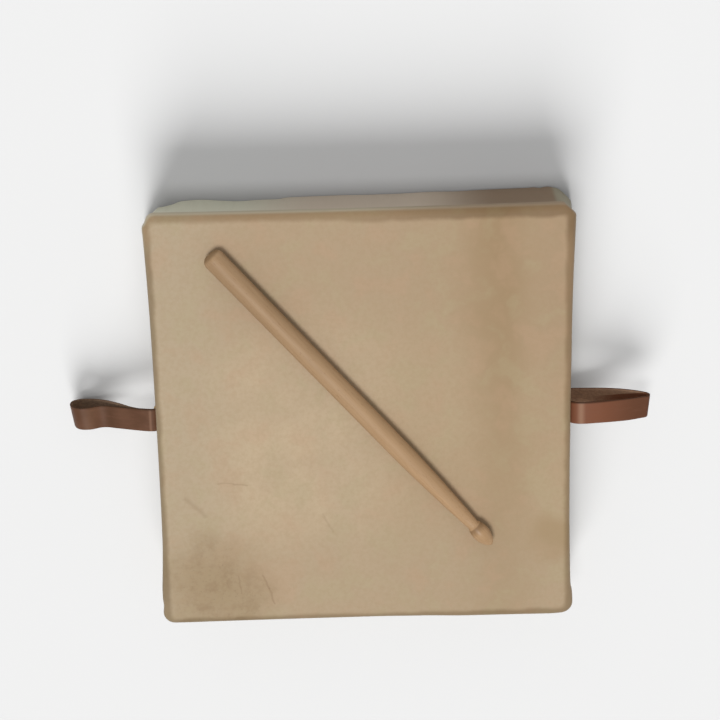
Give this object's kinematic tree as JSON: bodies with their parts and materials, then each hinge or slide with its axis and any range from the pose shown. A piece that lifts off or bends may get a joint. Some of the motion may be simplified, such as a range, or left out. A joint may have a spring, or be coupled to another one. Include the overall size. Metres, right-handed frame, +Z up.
{
  "type": "square frame drum",
  "caption": "Square frame drum lying head up: a hide head lapped over a deep wooden box frame, a leather strap handle on each side, and a wooden drumstick on the head.",
  "frame": {"origin": "on the ground, under the middle of the head, the drum lying on its open back", "axes": "+Z up, out of the playing face; +X towards the side with the folded strap; +Y towards the far side, across the straps"},
  "size_m": [0.486, 0.356, 0.0783],
  "materials": {
    "rawhide": "smooth scraped hide, satin, tan with faint stains",
    "pine": "planed, unvarnished",
    "beech": "turned and sanded, thin satin lacquer",
    "strap_leather": "vegetable tanned, brown, satin",
    "steel": "plain steel, slightly dull",
    "brass": "antiqued dome tacks"
  },
  "bodies": {
    "drum": {"hide_head": "rawhide", "frame_board_right": "pine", "frame_board_far": "pine", "frame_board_left": "pine", "frame_board_near": "pine", "lip_strip_right": "pine", "lip_strip_far": "pine", "lip_strip_left": "pine", "lip_strip_near": "pine", "corner_block_far_left": "pine", "corner_block_far_right": "pine", "corner_block_near_left": "pine", "corner_block_near_right": "pine", "corner_screw_far_left_lower": "steel", "corner_screw_far_left_upper": "steel", "corner_screw_far_right_lower": "steel", "corner_screw_far_right_upper": "steel", "corner_screw_near_left_lower": "steel", "corner_screw_near_left_upper": "steel", "corner_screw_near_right_lower": "steel", "corner_screw_near_right_upper": "steel", "hem_tack_right_1": "steel", "hem_tack_right_2": "steel", "hem_tack_right_3": "steel", "hem_tack_right_4": "steel", "hem_tack_right_5": "steel", "hem_tack_far_1": "steel", "hem_tack_far_2": "steel", "hem_tack_far_3": "steel", "hem_tack_far_4": "steel", "hem_tack_far_5": "steel", "hem_tack_left_1": "steel", "hem_tack_left_2": "steel", "hem_tack_left_3": "steel", "hem_tack_left_4": "steel", "hem_tack_left_5": "steel", "hem_tack_near_1": "steel", "hem_tack_near_2": "steel", "hem_tack_near_3": "steel", "hem_tack_near_4": "steel", "hem_tack_near_5": "steel", "left_strap_inner_end": "strap_leather", "left_strap_outer_end": "strap_leather", "right_strap_upper_end": "strap_leather", "right_strap_lower_end": "strap_leather", "left_strap_tack_1": "brass", "left_strap_tack_2": "brass", "right_strap_upper_tack_1": "brass", "right_strap_upper_tack_2": "brass", "right_strap_lower_tack_1": "brass", "right_strap_lower_tack_2": "brass"},
    "left_handle": {"left_strap_loop": "strap_leather"},
    "right_handle": {"right_strap_loop": "strap_leather"},
    "stick": {"drumstick": "beech"}
  },
  "joints": [
    {"name": "left_strap_swing", "type": "hinge", "parent": "drum", "child": "left_handle", "pos_m": [-0.1812, -0.0015, 0.0353], "axis": [0, 1, 0], "range_deg": [-4, 20], "stiffness_Nm_per_rad": 0.06},
    {"name": "right_strap_flex", "type": "hinge", "parent": "drum", "child": "right_handle", "pos_m": [0.182, -0.0015, 0.0302], "axis": [0, -1, 0], "range_deg": [-8, 10], "stiffness_Nm_per_rad": 0.15, "deforming": ["right_strap_upper_end", "right_strap_lower_end"]},
    {"name": "drumstick_lift", "type": "slide", "parent": "drum", "child": "stick", "axis": [0, 0, 1], "range_m": [0, 0.12]}
  ]
}
